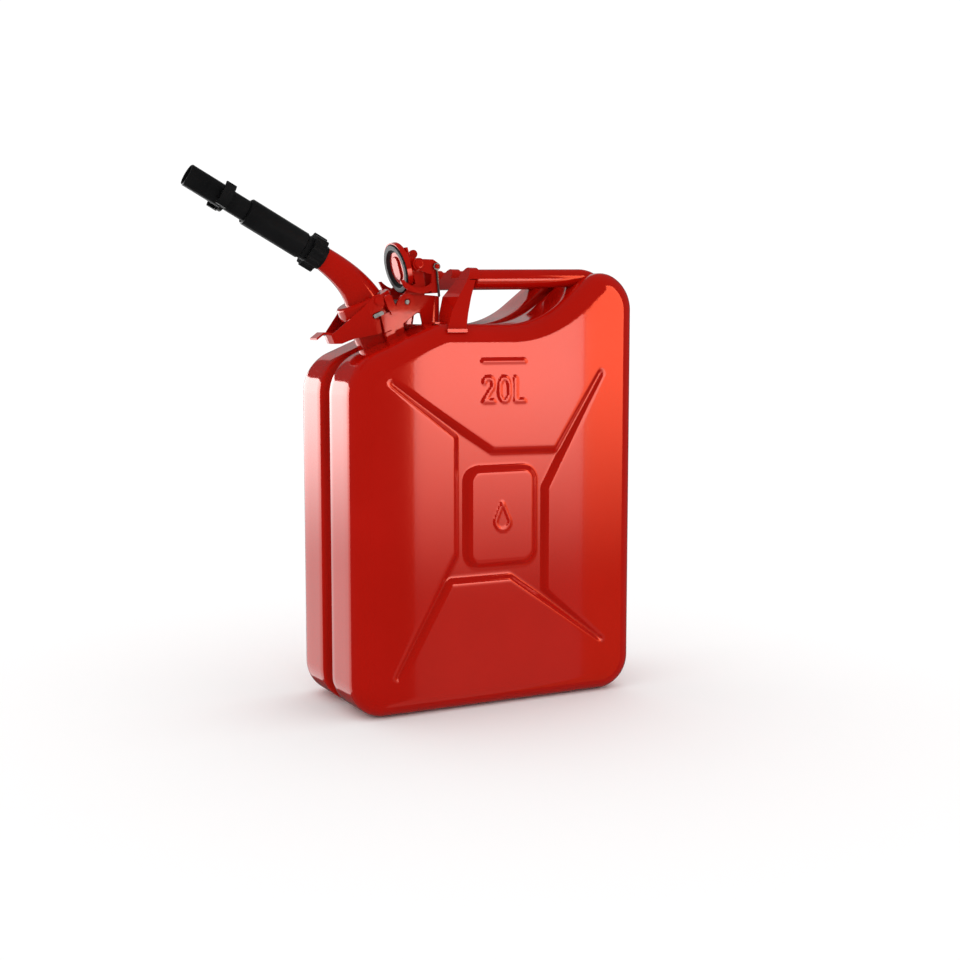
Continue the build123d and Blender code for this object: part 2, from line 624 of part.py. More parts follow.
def make_valve_head():
    """Brass head that closes the nozzle's mouth."""
    head = extrude(Pos(0, 0, 150) * Circle(7.5), amount=8)
    head = chamfer(head.edges().sort_by(Axis.Z)[-1], 1.5)
    head -= Pos(0, 0, 153) * ring(8, 6.2, -1.1, 1.1)
    stem = extrude(Pos(0, 0, 146) * Circle(3), amount=4)
    return barrel_frame * (head + stem - extrude(Pos(0, 0, 146) * Circle(1.6), amount=12))


def make_valve_o_ring():
    """Seal in the groove of the valve head."""
    return barrel_frame * Pos(0, 0, 153) * Torus(7.85, 1.0)


def make_return_spring():
    """Spring between the barrel's stop and the sliding nozzle."""
    helix = Helix(pitch=4.6, height=34, radius=9.3)
    wire = sweep(Plane(origin=helix @ 0, z_dir=helix % 0) * Circle(0.8), path=helix)
    return barrel_frame * Pos(0, 0, 32) * wire


def make_vent_tube():
    """Small air tube inside the pouring tube."""
    start = Vector(BARREL_FOOT[0], 0, BARREL_FOOT[1]) + Vector(*barrel_dir) * 140
    bend = Vector(BARREL_FOOT[0], 0, BARREL_FOOT[1]) - Vector(*barrel_dir) * 12
    foot = neck_point(-6, BASE_W[1])
    path = FilletPolyline(start, bend, foot, radius=30)
    return sweep(Plane(origin=start, z_dir=path % 0) * (Circle(2.5) - Circle(1.8)), path=path)


def make_flame_screen():
    """Perforated strainer cup hanging in the neck."""
    cup = ring(SCREEN_R, SCREEN_R - 0.8, 6, NECK_RIM_W + 5)
    cup += extrude(Pos(0, 0, 6) * Circle(SCREEN_R), amount=0.8)
    cup += ring(SCREEN_FLANGE_R, SCREEN_R - 0.8, NECK_RIM_W + 4, NECK_RIM_W + 5)
    for row in range(3):
        for i in range(8):
            hole = Rot(0, 0, 45 * i + 22.5 * row) * Pos(0, 0, 13 + 8 * row) * Rot(0, 90, 0)
            cup -= hole * extrude(Circle(1.8), amount=25)
    return neck_frame * cup


# ---------------------------------------------------------------- handle

def handle_rod(radius, start_x):
    """Solid rod along the handle line, bending down at the rear."""
    slope = (TUBE_BEND[1] - TUBE_FRONT[1]) / (TUBE_BEND[0] - TUBE_FRONT[0])
    start = Vector(start_x, 0, TUBE_FRONT[1] + (start_x - TUBE_FRONT[0]) * slope)
    run = Line(start, (TUBE_BEND[0], 0, TUBE_BEND[1]))
    heading = run % 1
    normal = Vector(heading.Z, 0, -heading.X)
    centre = Vector(TUBE_BEND[0], 0, TUBE_BEND[1]) + normal * TUBE_BEND_R
    bend_plane = Plane(origin=centre, x_dir=(-normal.X, 0, -normal.Z), z_dir=(0, 1, 0))
    bend = bend_plane * CenterArc((0, 0), TUBE_BEND_R, 0, TUBE_BEND_TURN)
    return sweep(Plane(origin=start, z_dir=heading) * Circle(radius), path=Wire([run, bend]))


def make_handle_tube(y):
    """One carrying tube, closed and rounded in front, welded to the can behind."""
    rod = handle_rod(TUBE_R, TUBE_START_X)
    rod = fillet(rod.edges().sort_by(Axis.X)[0], 3)
    bore = handle_rod(TUBE_R - TUBE_WALL, TUBE_START_X + 3)
    tube = Pos(0, y, 0) * (rod - bore) - can_envelope - make_seam_bead()
    return tube.solids().sort_by(SortBy.VOLUME)[-1]


def bracket_leg():
    """One leg of the handle bracket: a leaning front plate with a flange along its outer edge."""
    levels = [
        (398.0, (-66.0, 80.0), -43.0, (-54.0, 38.0)),
        (424.0, (-54.0, 70.0), -34.5, (-51.5, 34.5)),
        (441.0, (-42.5, 63.0), -27.5, (-47.0, 33.0)),
        (459.0, (-28.0, 55.5), -18.5, (-30.5, 33.0)),
    ]
    wide = HANDLE_SHEET * 1.15
    sections = []
    for z, (front_x, out_y), rear_x, (in_x, in_y) in levels:
        sections.append(Pos(0, 0, z) * make_face(Polyline(
            (in_x, in_y), (front_x, out_y), (rear_x, out_y), (rear_x, out_y - HANDLE_SHEET),
            (front_x + wide, out_y - HANDLE_SHEET), (in_x + wide, in_y), close=True)))
    return loft(sections, ruled=True)


def make_handle_bracket():
    """Arched front support: two legs, and a lobed top that wraps the three tubes."""
    rods = handle_rod(TUBE_R + RUN_CLEARANCE, TUBE_START_X - 20)
    lobes = Pos(0, 456) * Rectangle(2 * 55.2, 12)
    for y in (-TUBE_Y, 0, TUBE_Y):
        lobes += Pos(y, TUBE_FRONT[1]) * Circle(LOBE_R)
    lobes -= Pos(0, 444) * Rectangle(66, 12)
    lean = make_face(Polyline((-35.5, 446), (-20.5, 474), (LOBE_END_X, 474), (LOBE_END_X, 446), close=True))
    top = Plane(origin=(-60, 0, 0), x_dir=(0, 1, 0), z_dir=(1, 0, 0)) * extrude(lobes, amount=60)
    top = top & (Plane.XZ * extrude(lean, amount=60, both=True))
    hollow = make_face(Polyline((-32.6, 445), (-17.4, 474), (0, 474), (0, 445), close=True))
    inside = Plane.XZ * extrude(hollow, amount=60, both=True)
    sleeves = top & inside
    for y in (-TUBE_Y, 0, TUBE_Y):
        sleeves -= Pos(0, y, 0) * rods
    sleeves -= Pos(-20, 0, 440) * Box(60, 140, 40)
    bracket = top - inside + sleeves
    leg = bracket_leg()
    lip = Pos(-52.5, 77.5, 405.2) * Box(23, 7, 3.6)
    toe = Pos(-62.4, 56, 413.2) * Box(15.2, 13, 1.8)
    side = leg + lip + toe
    bracket += side + mirror(side, about=Plane.XZ)
    for y in (-TUBE_Y, TUBE_Y):
        bracket -= Pos(0, y, 0) * handle_rod(TUBE_R + RUN_CLEARANCE, TUBE_START_X - 0.1)
    return bracket - can_envelope


left_shell, right_shell = make_shells()
handle_tubes = {
    "handle_tube_left": -TUBE_Y,
    "handle_tube_center": 0,
    "handle_tube_right": TUBE_Y,
}
parts = {
    "shell_left": left_shell,
    "shell_right": right_shell,
    "seam_weld_bead": make_seam_bead(),
    "filler_neck": make_filler_neck(),
    "breather_tube": make_breather_tube(),
    "closure_bracket": make_closure_bracket(),
    "lug_bars": lug_shape(),
    "cap_hinge_pin": make_cap_hinge_pin(),
    "handle_bracket": make_handle_bracket(),
    "cap_plate": make_cap_plate(),
    "cap_gasket": make_cap_gasket(),
    "gasket_retainer": make_gasket_retainer(),
    "cap_bail": make_cap_bail(),
    "cap_lever_rivets": make_cap_lever_rivets(),
    "cap_lever": make_cap_lever(),
    "safety_pin": make_safety_pin(),
    "spout_base": make_spout_base(),
    "spout_gasket": make_spout_gasket(),
    "spout_elbow": make_spout_elbow(),
    "spout_lever_rivets": make_spout_rivets(),
    "spout_lever": make_spout_lever(),
    "lock_collar": make_lock_collar(),
    "barrel_sleeve": make_barrel_sleeve(),
    "nozzle": make_nozzle(),
    "inner_tube": make_inner_tube(),
    "valve_head": make_valve_head(),
    "valve_o_ring": make_valve_o_ring(),
    "return_spring": make_return_spring(),
    "vent_tube": make_vent_tube(),
    "flame_screen": make_flame_screen(),
}
for name, y in handle_tubes.items():
    parts[name] = make_handle_tube(y)

os.makedirs("parts", exist_ok=True)
for name, shape in parts.items():
    export_step(Pos(FRAME_SHIFT, 0, 0) * shape, f"parts/{name}.step")
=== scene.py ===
import json
from math import cos, hypot, pi, radians, sin

import bmesh
import bpy
import numpy as np
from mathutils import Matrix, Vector
from mathutils.geometry import delaunay_2d_cdt


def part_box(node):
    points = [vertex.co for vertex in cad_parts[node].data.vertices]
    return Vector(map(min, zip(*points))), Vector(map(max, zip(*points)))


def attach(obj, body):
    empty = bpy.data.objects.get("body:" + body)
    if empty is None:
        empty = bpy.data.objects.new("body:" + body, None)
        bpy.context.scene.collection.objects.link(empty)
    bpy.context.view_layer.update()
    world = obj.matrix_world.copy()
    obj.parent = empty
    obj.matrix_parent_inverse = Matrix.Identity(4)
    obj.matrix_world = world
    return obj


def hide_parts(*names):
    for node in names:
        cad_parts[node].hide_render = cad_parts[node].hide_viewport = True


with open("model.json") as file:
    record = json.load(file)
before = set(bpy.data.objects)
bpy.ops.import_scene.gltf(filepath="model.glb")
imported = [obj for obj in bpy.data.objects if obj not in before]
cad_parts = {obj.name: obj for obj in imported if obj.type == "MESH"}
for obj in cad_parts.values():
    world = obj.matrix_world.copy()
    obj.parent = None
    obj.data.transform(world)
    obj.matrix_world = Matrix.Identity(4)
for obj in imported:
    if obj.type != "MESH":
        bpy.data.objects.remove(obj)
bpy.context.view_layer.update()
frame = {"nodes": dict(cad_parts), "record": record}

MM = 0.001
shell_low, shell_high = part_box("shell_left")
MID_X = (shell_low[0] + shell_high[0]) / 2
HALF_LENGTH = (shell_high[0] - shell_low[0]) / 2 / MM
HALF_THICKNESS = -shell_low[1] / MM


# ------------------------------------------------------------------ small helpers

def mesh_object(name, vertices, faces, smooth=True):
    """A mesh from points in millimetres about the middle of the can."""
    mesh = bpy.data.meshes.new(name)
    points = [(MID_X + x * MM, y * MM, z * MM) for x, y, z in vertices]
    mesh.from_pydata(points, [], faces)
    mesh.validate()
    mesh.update()
    if smooth:
        mesh.polygons.foreach_set("use_smooth", [True] * len(mesh.polygons))
    piece = bpy.data.objects.new(name, mesh)
    bpy.context.scene.collection.objects.link(piece)
    return piece


def weld(piece, distance=0.00002):
    """Join the doubled points of a mesh and make its faces look outward."""
    work = bmesh.new()
    work.from_mesh(piece.data)
    bmesh.ops.remove_doubles(work, verts=work.verts, dist=distance)
    bmesh.ops.recalc_face_normals(work, faces=work.faces)
    work.to_mesh(piece.data)
    work.free()
    piece.data.polygons.foreach_set("use_smooth", [True] * len(piece.data.polygons))
    piece.data.update()


# ------------------------------------------------------------------ can outline, millimetres

BOTTOM_CORNER_R = 38.0
FACE_ROUND_R = 20.0
FLAT_TOP_Z = 412.5
SLOPE = radians(23.0)
NECK_X, NECK_Z = -107.5, 395.8
FRONT_CORNER_R = 48.0
REAR_CORNER_R, REAR_CORNER_Z, REAR_TURN = 42.0, 428.0, radians(65)
HUMP_R = 30.0
RISE_ANGLE, RISE_R = radians(38), 110.0
BLEND_R = 40.0


def can_outline(arc_step=2.0, line_step=4.0):
    """Points of the can's side view, counter-clockwise, with outward normals."""
    half = HALF_LENGTH
    corner = BOTTOM_CORNER_R
    rear = (half - REAR_CORNER_R, REAR_CORNER_Z)
    step = REAR_CORNER_R - HUMP_R
    hump = (rear[0] + step * cos(REAR_TURN), rear[1] + step * sin(REAR_TURN))
    hump_end = (hump[0] - HUMP_R * sin(RISE_ANGLE), hump[1] + HUMP_R * cos(RISE_ANGLE))
    rise_end_z = FLAT_TOP_Z + RISE_R * (1 - cos(RISE_ANGLE))
    rise_end_x = hump_end[0] - (hump_end[1] - rise_end_z) / sin(RISE_ANGLE) * cos(RISE_ANGLE)
    rise = (rise_end_x - RISE_R * sin(RISE_ANGLE), FLAT_TOP_Z + RISE_R)
    front_x = -half + FRONT_CORNER_R
    front_end_x = front_x - FRONT_CORNER_R * sin(SLOPE)
    front_end_z = NECK_Z + (front_end_x - NECK_X) * sin(SLOPE) / cos(SLOPE)
    front = (front_x, front_end_z - FRONT_CORNER_R * cos(SLOPE))
    blend_z = FLAT_TOP_Z - BLEND_R * (1 - cos(SLOPE))
    blend_x = NECK_X + (blend_z - NECK_Z) * cos(SLOPE) / sin(SLOPE)
    blend = (blend_x + BLEND_R * sin(SLOPE), FLAT_TOP_Z - BLEND_R)
    top = pi / 2
    runs = [
        ((-half + corner, 0), (half - corner, 0)),
        ((half - corner, corner), corner, -top, 0, 1),
        ((half, corner), (half, REAR_CORNER_Z)),
        (rear, REAR_CORNER_R, 0, REAR_TURN, 1),
        (hump, HUMP_R, REAR_TURN, top + RISE_ANGLE, 1),
        (hump_end, (rise_end_x, rise_end_z)),
        (rise, RISE_R, RISE_ANGLE - top, -top, -1),
        ((rise[0], FLAT_TOP_Z), (blend[0], FLAT_TOP_Z)),
        (blend, BLEND_R, top, top + SLOPE, 1),
        ((blend_x, blend_z), (front_end_x, front_end_z)),
        (front, FRONT_CORNER_R, top + SLOPE, pi, 1),
        ((-half, front[1]), (-half, corner)),
        ((-half + corner, corner), corner, pi, 3 * top, 1),
    ]
    points, normals = [], []
    for run in runs:
        if len(run) == 2:
            (x0, z0), (x1, z1) = run
            length = hypot(x1 - x0, z1 - z0)
            count = max(1, round(length / line_step))
            for i in range(count):
                share = i / count
                points.append((x0 + (x1 - x0) * share, z0 + (z1 - z0) * share))
                normals.append(((z1 - z0) / length, -(x1 - x0) / length))
        else:
            (cx, cz), radius, start, stop, side = run
            count = max(2, round(abs(stop - start) * radius / arc_step))
            for i in range(count):
                angle = start + (stop - start) * i / count
                points.append((cx + radius * cos(angle), cz + radius * sin(angle)))
                normals.append((side * cos(angle), side * sin(angle)))
    return np.array(points), np.array(normals)


# ------------------------------------------------------------------ pressed pattern, millimetres

PATTERN_Z = 207.0
CHANNEL_DEPTH = 5.2
CHANNEL_WALL = 5.5
CHANNEL_BLUR = 1.2
TIP_HALF_WIDTH = 3.2
ARMS = [
    ((-129, 146), [(-56, 86), (-56, -38)]), ((-124, -166), [(-61, -69), (11, -69)]),
    ((128, -147), [(57, -83), (57, 28)]), ((125, 155), [(67, 72), (-9, 73)]),
]
BADGE_HALF = (38.0, 49.0)
BADGE_X = 1.0
BADGE_ROUND = 11.0
RASTER = 1.0


def channel_outline():
    """The X channel's outline: four blunt arm ends and the corners between them."""
    outline = []
    for (x, z), after in ARMS:
        reach = hypot(x, z)
        across = (-z / reach * TIP_HALF_WIDTH, x / reach * TIP_HALF_WIDTH)
        outline += [(x - across[0], z - across[1]), (x + across[0], z + across[1])] + after
    return outline


def polygon_depth(x, z, corners):
    """Distance inside a polygon, negative outside."""
    nearest = np.full(x.shape, 1e9)
    inside = np.zeros(x.shape, bool)
    for (ax, az), (bx, bz) in zip(corners, corners[1:] + corners[:1]):
        dx, dz = bx - ax, bz - az
        share = np.clip(((x - ax) * dx + (z - az) * dz) / (dx * dx + dz * dz), 0, 1)
        nearest = np.minimum(nearest, np.hypot(x - ax - share * dx, z - az - share * dz))
        if az != bz:
            crosses = ((az > z) != (bz > z)) & (x < (bx - ax) * (z - az) / (bz - az) + ax)
            inside ^= crosses
    return np.where(inside, nearest, -nearest)


def rounded_box(x, z, half_x, half_z, radius):
    """Distance outside a rounded rectangle, negative inside."""
    dx = np.abs(x) - half_x + radius
    dz = np.abs(z) - half_z + radius
    outside = np.hypot(np.maximum(dx, 0), np.maximum(dz, 0))
    return outside + np.minimum(np.maximum(dx, dz), 0) - radius


def stroke(x, z, ax, az, bx, bz):
    """Distance to a straight stroke."""
    dx, dz = bx - ax, bz - az
    share = np.clip(((x - ax) * dx + (z - az) * dz) / (dx * dx + dz * dz), 0, 1)
    return np.hypot(x - ax - share * dx, z - az - share * dz)


def arc_stroke(x, z, cx, cz, rx, rz, start, stop, steps=14):
    """Distance to an elliptical arc stroke."""
    nearest = np.full(x.shape, 1e9)
    angles = np.linspace(radians(start), radians(stop), steps + 1)
    for a, b in zip(angles, angles[1:]):
        nearest = np.minimum(nearest, stroke(x, z, cx + rx * cos(a), cz + rz * sin(a),
                                             cx + rx * cos(b), cz + rz * sin(b)))
    return nearest


def blurred(grid, sigma):
    """Gaussian blur of a raster."""
    reach = int(sigma * 3) + 1
    kernel = np.exp(-0.5 * (np.arange(-reach, reach + 1) / sigma) ** 2)
    kernel /= kernel.sum()
    padded = np.pad(grid, reach, mode="edge")
    rows = np.apply_along_axis(lambda r: np.convolve(r, kernel, "valid"), 1, padded)
    return np.apply_along_axis(lambda c: np.convolve(c, kernel, "valid"), 0, rows)


def smooth_step(value):
    """0 below 0, 1 above 1, smooth between."""
    t = np.clip(value, 0, 1)
    return t * t * (3 - 2 * t)


MARK_MID = (2.5, 343.0)
MARK_HALF_HEIGHT = 12.5
EMBOSS = 0.9
STROKE_HALF = 1.3
STROKE_EDGE = 1.6
DROP_THINNER = 0.7


def mark_distance(x, z):
    """Distance to the strokes of the capacity figures and the level bar above them."""
    mx, mz = MARK_MID
    h = MARK_HALF_HEIGHT
    two = arc_stroke(x, z, mx - 18.5, mz + h - 6.2, 5.8, 6.2, 170, -38)
    two = np.minimum(two, stroke(x, z, mx - 14.0, mz + h - 10.2, mx - 24.6, mz - h))
    two = np.minimum(two, stroke(x, z, mx - 24.6, mz - h, mx - 12.4, mz - h))
    nought = arc_stroke(x, z, mx + 0.5, mz, 6.4, h, 0, 360, 40)
    letter = stroke(x, z, mx + 13.6, mz + h, mx + 13.6, mz - h)
    letter = np.minimum(letter, stroke(x, z, mx + 13.6, mz - h, mx + 24.4, mz - h))
    bar = stroke(x, z, mx - 25, mz + 30, mx + 25, mz + 30)
    return np.minimum(np.minimum(two, nought), np.minimum(letter, bar))


def drop_distance(x, z):
    """Distance to the outline of a plain drop in the middle of the badge."""
    cx, cz, radius = 1.0, PATTERN_Z - 6, 8.5
    round_part = arc_stroke(x, z, cx, cz, radius, radius, 145, 395, 30)
    tip = (cx, cz + 21)
    left = stroke(x, z, cx + radius * cos(radians(145)), cz + radius * sin(radians(145)), *tip)
    right = stroke(x, z, cx + radius * cos(radians(35)), cz + radius * sin(radians(35)), *tip)
    return np.minimum(round_part, np.minimum(left, right))


def face_raster(side):
    """Depth of the broad face below its highest level, as a raster over the outline's box."""
    xs = np.arange(-HALF_LENGTH, HALF_LENGTH + RASTER, RASTER)
    zs = np.arange(0, 480, RASTER)
    x, z = np.meshgrid(xs, zs)
    inside = polygon_depth(x, z - PATTERN_Z, channel_outline())
    from_badge = rounded_box(x - BADGE_X, z - PATTERN_Z, *BADGE_HALF, BADGE_ROUND)
    channel = np.minimum(inside, from_badge)
    depth = blurred(CHANNEL_DEPTH * np.clip(channel / CHANNEL_WALL, 0, 1), CHANNEL_BLUR)
    reading_x = x if side < 0 else 2 * MARK_MID[0] - x
    marks = np.minimum(mark_distance(reading_x, z), drop_distance(x, z) + DROP_THINNER)
    depth += EMBOSS * smooth_step((marks - STROKE_HALF) / STROKE_EDGE)
    return xs, zs, depth


def sample_raster(xs, zs, grid, x, z):
    """Bilinear read of the raster."""
    fx = np.clip((x - xs[0]) / RASTER, 0, len(xs) - 1.001)
    fz = np.clip((z - zs[0]) / RASTER, 0, len(zs) - 1.001)
    ix, iz = fx.astype(int), fz.astype(int)
    tx, tz = fx - ix, fz - iz
    low = grid[iz, ix] * (1 - tx) + grid[iz, ix + 1] * tx
    high = grid[iz + 1, ix] * (1 - tx) + grid[iz + 1, ix + 1] * tx
    return low * (1 - tz) + high * tz


# ------------------------------------------------------------------ pressed half shells

GRID = 2.0
EDGE_BAND = 0.4
SHELL_WELD = 0.00004
FACE_LEVEL = HALF_THICKNESS - 0.05
WALL_SECTION = [
    (0.3, 11.0), (3.0, 11.0), (5.5, 10.9), (7.3, 10.4), (8.6, 9.4), (9.4, 7.8), (10.0, 5.6), (10.7, 3.4),
    (11.6, 1.7), (13.0, 0.5), (15.0, 0.0), (24.0, 0.0), (36.0, 0.0), (50.0, 0.0),
]


def wall_rings():
    """(y, inset) of each ring from the seam to the edge of the broad face."""
    rings = list(WALL_SECTION)
    for i in range(15):
        turn = pi / 2 * i / 14
        rings.append((FACE_LEVEL - EMBOSS - FACE_ROUND_R * (1 - sin(turn)), FACE_ROUND_R * (1 - cos(turn))))
    return rings


def make_half_shell(name, side):
    """One pressed half: groove wall, side wall, rounded edge and the broad face."""
    points, normals = can_outline()
    rings = wall_rings()
    count = len(points)
    vertices, faces = [], []
    for y, inset in rings:
        ring = points - normals * inset
        vertices += [(p[0], side * y, p[1]) for p in ring]
    for r in range(len(rings) - 1):
        for i in range(count):
            j = (i + 1) % count
            faces.append((r * count + i, r * count + j, (r + 1) * count + j, (r + 1) * count + i))
    edge = points - normals * FACE_ROUND_R
    xs, zs, grid = face_raster(side)
    gx, gz = np.meshgrid(np.arange(-148, 149, GRID), np.arange(22, 452, GRID))
    gx, gz = gx.ravel(), gz.ravel()
    keep = polygon_depth(gx, gz, [tuple(p) for p in edge[::2]]) > GRID * 0.8
    inner = np.stack([gx[keep], gz[keep]], 1)
    flat = [Vector(p) for p in np.vstack([edge, inner])]
    loop = [(i, (i + 1) % count) for i in range(count)]
    out_points, _, out_faces, _, _, _ = delaunay_2d_cdt(flat, loop, [], 1, 1e-5)
    face_xz = np.array([tuple(p) for p in out_points])
    depth = sample_raster(xs, zs, grid, face_xz[:, 0], face_xz[:, 1])
    from_edge = np.abs(polygon_depth(face_xz[:, 0], face_xz[:, 1], [tuple(p) for p in edge]))
    depth = np.where(from_edge < EDGE_BAND, EMBOSS, depth)
    base = len(vertices)
    vertices += [(x, side * (FACE_LEVEL - d), z) for (x, z), d in zip(face_xz, depth)]
    faces += [tuple(base + i for i in f) for f in out_faces]
    shell = mesh_object(name, vertices, faces)
    weld(shell, SHELL_WELD)
    return shell


BEAD_STEP = 1.3
BEAD_RIPPLE = 0.35
BEAD_WAVE = 5.2
BEAD_SWAY = 0.12
BEAD_FOOT = 11.1
BEAD_CLIMB = 4.7
BEAD_SINK = 0.3
BEAD_SECTION = [(-1.9, 11.1), (-1.75, 8.6), (-1.1, 6.9), (0.0, 6.4), (1.1, 6.9), (1.75, 8.6), (1.9, 11.1)]


def make_weld_bead():
    """The rippled bead that joins the two halves in the bottom of the groove."""
    points, normals = can_outline(BEAD_STEP, BEAD_STEP)
    steps = np.hypot(*(np.roll(points, -1, 0) - points).T)
    along = np.concatenate([[0], np.cumsum(steps)[:-1]])
    ripple = np.sin(2 * pi * along / BEAD_WAVE)
    count = len(points)
    vertices, faces = [], []
    for y, inset in BEAD_SECTION:
        lift = BEAD_RIPPLE * (BEAD_FOOT - inset) / BEAD_CLIMB
        ring = points - normals * (inset + BEAD_SINK - lift * ripple)[:, None]
        vertices += [(p[0], y + BEAD_SWAY * wave, p[1]) for p, wave in zip(ring, ripple)]
    for r in range(len(BEAD_SECTION)):
        for i in range(count):
            j = (i + 1) % count
            n = (r + 1) % len(BEAD_SECTION)
            faces.append((r * count + i, r * count + j, n * count + j, n * count + i))
    bead = mesh_object("rippled_weld", vertices, faces)
    weld(bead)
    return bead


# ------------------------------------------------------------------ materials

def new_material(name):
    """A material with an empty principled shader."""
    material = bpy.data.materials.new(name)
    material.use_nodes = True
    return material, material.node_tree.nodes, material.node_tree.links


def noise(nodes, links, scale, detail=3.0, roughness=0.5):
    """Noise in object space."""
    where = nodes.new("ShaderNodeTexCoord")
    texture = nodes.new("ShaderNodeTexNoise")
    texture.inputs["Scale"].default_value = scale
    texture.inputs["Detail"].default_value = detail
    texture.inputs["Roughness"].default_value = roughness
    links.new(where.outputs["Object"], texture.inputs["Vector"])
    return texture


def ramp(nodes, links, source, stops):
    """A colour ramp over a value."""
    mix = nodes.new("ShaderNodeValToRGB")
    while len(mix.color_ramp.elements) < len(stops):
        mix.color_ramp.elements.new(0.5)
    for element, (place, colour) in zip(mix.color_ramp.elements, stops):
        element.position = place
        element.color = (*colour, 1)
    links.new(source, mix.inputs["Fac"])
    return mix


def bump(nodes, links, shader, height, strength, distance):
    """Small relief from a height value."""
    node = nodes.new("ShaderNodeBump")
    node.inputs["Strength"].default_value = strength
    node.inputs["Distance"].default_value = distance
    links.new(height, node.inputs["Height"])
    links.new(node.outputs["Normal"], shader.inputs["Normal"])


def paint_material():
    """Gloss red powder paint with a faint orange-peel surface."""
    material, nodes, links = new_material("red_paint")
    shader = nodes["Principled BSDF"]
    tone = noise(nodes, links, 9.0, 3)
    colour = ramp(nodes, links, tone.outputs["Fac"],
                  [(0.35, (0.44, 0.004, 0.001)), (0.65, (0.48, 0.005, 0.002))])
    links.new(colour.outputs["Color"], shader.inputs["Base Color"])
    shader.inputs["Roughness"].default_value = 0.10
    shader.inputs["Specular IOR Level"].default_value = 1.0
    shader.inputs["IOR"].default_value = 1.7
    shader.inputs["Specular Tint"].default_value = (1.0, 0.18, 0.10, 1)
    shader.inputs["Coat Weight"].default_value = 0.5
    shader.inputs["Coat Roughness"].default_value = 0.04
    shader.inputs["Coat IOR"].default_value = 1.5
    peel = noise(nodes, links, 260.0, 2)
    bump(nodes, links, shader, peel.outputs["Fac"], 0.04, 0.0006)
    return material


def plastic_material():
    """Satin black moulded plastic."""
    material, nodes, links = new_material("black_plastic")
    shader = nodes["Principled BSDF"]
    tone = noise(nodes, links, 30.0)
    colour = ramp(nodes, links, tone.outputs["Fac"],
                  [(0.3, (0.004, 0.004, 0.0045)), (0.7, (0.008, 0.008, 0.0085))])
    links.new(colour.outputs["Color"], shader.inputs["Base Color"])
    shader.inputs["Roughness"].default_value = 0.28
    shader.inputs["Specular IOR Level"].default_value = 0.35
    grain = noise(nodes, links, 900.0, 2)
    bump(nodes, links, shader, grain.outputs["Fac"], 0.12, 0.0004)
    return material


def rubber_material():
    """Dark moulded rubber."""
    material, nodes, links = new_material("black_rubber")
    shader = nodes["Principled BSDF"]
    tone = noise(nodes, links, 60.0)
    colour = ramp(nodes, links, tone.outputs["Fac"],
                  [(0.3, (0.010, 0.010, 0.011)), (0.7, (0.022, 0.022, 0.024))])
    links.new(colour.outputs["Color"], shader.inputs["Base Color"])
    shader.inputs["Roughness"].default_value = 0.45
    return material


def steel_material(name, dark, light, rough):
    """Bare or plated metal with fine streaks."""
    material, nodes, links = new_material(name)
    shader = nodes["Principled BSDF"]
    tone = noise(nodes, links, 140.0, 5, 0.6)
    colour = ramp(nodes, links, tone.outputs["Fac"], [(0.3, dark), (0.7, light)])
    links.new(colour.outputs["Color"], shader.inputs["Base Color"])
    shader.inputs["Metallic"].default_value = 1.0
    shader.inputs["Roughness"].default_value = rough
    bump(nodes, links, shader, tone.outputs["Fac"], 0.08, 0.0004)
    return material


paint = paint_material()
plastic = plastic_material()
rubber = rubber_material()
steel = steel_material("zinc_steel", (0.20, 0.20, 0.20), (0.40, 0.39, 0.37), 0.30)
brass = steel_material("brass", (0.60, 0.42, 0.16), (0.80, 0.62, 0.30), 0.28)
by_slot = {
    "red_paint": paint,
    "black_plastic": plastic,
    "black_rubber": rubber,
    "zinc_steel": steel,
    "brass": brass,
}
slot_of = {entry["node"]: entry["material_slot"] for entry in frame["record"]["subparts"]}

for node, piece in frame["nodes"].items():
    piece.data.materials.clear()
    piece.data.materials.append(by_slot[slot_of[node]])

for node, side in (("shell_left", -1), ("shell_right", 1)):
    half = make_half_shell("pressed_" + node, side)
    half.data.materials.append(paint)
    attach(half, "can")
    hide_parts(node)

bead = make_weld_bead()
bead.data.materials.append(paint)
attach(bead, "can")
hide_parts("seam_weld_bead")


# ------------------------------------------------------------------ stage: floor, light, camera

def flat_card(name, corners, material):
    """A four-cornered card from points in metres."""
    mesh = bpy.data.meshes.new(name)
    mesh.from_pydata(corners, [], [(0, 1, 2, 3)])
    mesh.update()
    card = bpy.data.objects.new(name, mesh)
    card.data.materials.append(material)
    bpy.context.scene.collection.objects.link(card)
    return card


def floor_material():
    """Pale plain floor."""
    material, nodes, links = new_material("pale_floor")
    shader = nodes["Principled BSDF"]
    shader.inputs["Base Color"].default_value = (0.98, 0.98, 0.98, 1)
    shader.inputs["Roughness"].default_value = 0.9
    shader.inputs["Specular IOR Level"].default_value = 0.0
    return material


FLOOR = 60
floor_corners = [(-FLOOR, -FLOOR, 0), (FLOOR, -FLOOR, 0), (FLOOR, FLOOR, 0), (-FLOOR, FLOOR, 0)]
floor = flat_card("floor", floor_corners, floor_material())
floor.visible_glossy = False


def studio_world(strength, gloss_strength):
    """Even white surroundings, dimmer where they are mirrored in gloss."""
    world = bpy.data.worlds.new("studio")
    bpy.context.scene.world = world
    world.use_nodes = True
    nodes, links = world.node_tree.nodes, world.node_tree.links
    background = nodes["Background"]
    background.inputs["Color"].default_value = (1, 1, 1, 1)
    rays = nodes.new("ShaderNodeLightPath")
    level = nodes.new("ShaderNodeMath")
    level.operation = "MULTIPLY_ADD"
    level.inputs[1].default_value = gloss_strength - strength
    level.inputs[2].default_value = strength
    links.new(rays.outputs["Is Glossy Ray"], level.inputs[0])
    links.new(level.outputs[0], background.inputs["Strength"])


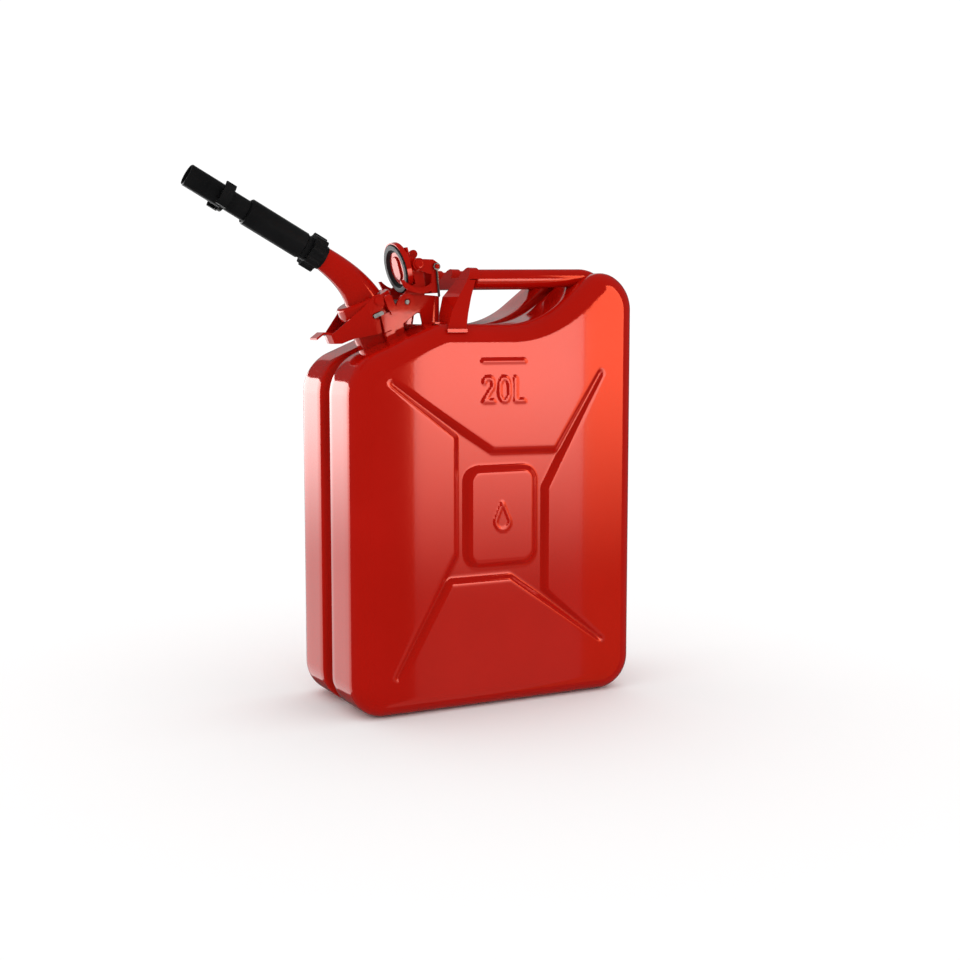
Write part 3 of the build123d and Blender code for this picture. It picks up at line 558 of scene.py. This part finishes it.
def glow_material(name, colour, low, high, low_z, high_z):
    """Light that fades from high at high_z down to low at low_z."""
    material, nodes, links = new_material(name)
    nodes.remove(nodes["Principled BSDF"])
    glow = nodes.new("ShaderNodeEmission")
    glow.inputs["Color"].default_value = (*colour, 1)
    where = nodes.new("ShaderNodeTexCoord")
    split = nodes.new("ShaderNodeSeparateXYZ")
    fade = nodes.new("ShaderNodeMapRange")
    fade.interpolation_type = "SMOOTHSTEP"
    fade.inputs["From Min"].default_value = low_z
    fade.inputs["From Max"].default_value = high_z
    fade.inputs["To Min"].default_value = low
    fade.inputs["To Max"].default_value = high
    links.new(where.outputs["Object"], split.inputs[0])
    links.new(split.outputs["Z"], fade.inputs["Value"])
    links.new(fade.outputs["Result"], glow.inputs["Strength"])
    links.new(glow.outputs[0], nodes["Material Output"].inputs["Surface"])
    material.cycles.emission_sampling = "NONE"
    return material


def soft_box(name, near, far, low_z, high_z, material):
    """An upright glowing card that shows only as a reflection."""
    (ax, ay), (bx, by) = near, far
    corners = [
        (MID_X + ax, ay, low_z),
        (MID_X + bx, by, low_z),
        (MID_X + bx, by, high_z),
        (MID_X + ax, ay, high_z),
    ]
    card = flat_card(name, corners, material)
    card.visible_camera = False
    card.visible_shadow = False
    card.visible_diffuse = False
    return card


WHITE = (1, 1, 1)
WARM = (1, 0.5, 0.3)
SIDE_Y = -0.58
BACK_Y = 1.6
BOX_FOOT = -0.7
SIDE_X = 0.126
MEETING_X = 0.408

studio_world(1.06, 0.08)
glow = glow_material("glow_middle", WHITE, 0.30, 3.9, 0.0, 0.37)
soft_box("box_middle", (SIDE_X, SIDE_Y), (MEETING_X, SIDE_Y), BOX_FOOT, 0.435, glow)
glow = glow_material("glow_right", WARM, 0.35, 4.2, 0.0, 0.40)
soft_box("box_right", (MEETING_X + 0.002, SIDE_Y), (0.70, SIDE_Y), BOX_FOOT, 0.8, glow)
glow = glow_material("glow_back", WHITE, 1.0, 3.6, -0.10, 0.38)
soft_box("box_left_back", (-1.45, 0.9), (-0.15, 1.7), BOX_FOOT, 0.66, glow)
glow = glow_material("glow_top", WHITE, 0.15, 0.5, 0.5, 1.2)
soft_box("box_back", (-0.10, BACK_Y), (1.6, BACK_Y), 0.40, 1.8, glow)

CAMERA_PLACE = Vector((-0.7102 + MID_X, -1.4027, 0.4020))
CAMERA_FORWARD = Vector((0.4570, 0.8834, -0.1032))
camera_data = bpy.data.cameras.new("camera")
camera_data.lens = 52.86
camera_data.sensor_width = 36.0
camera = bpy.data.objects.new("camera", camera_data)
camera.location = CAMERA_PLACE
camera.rotation_euler = CAMERA_FORWARD.to_track_quat("-Z", "Y").to_euler()
bpy.context.scene.collection.objects.link(camera)
bpy.context.scene.camera = camera
bpy.context.scene.view_settings.view_transform = "Standard"
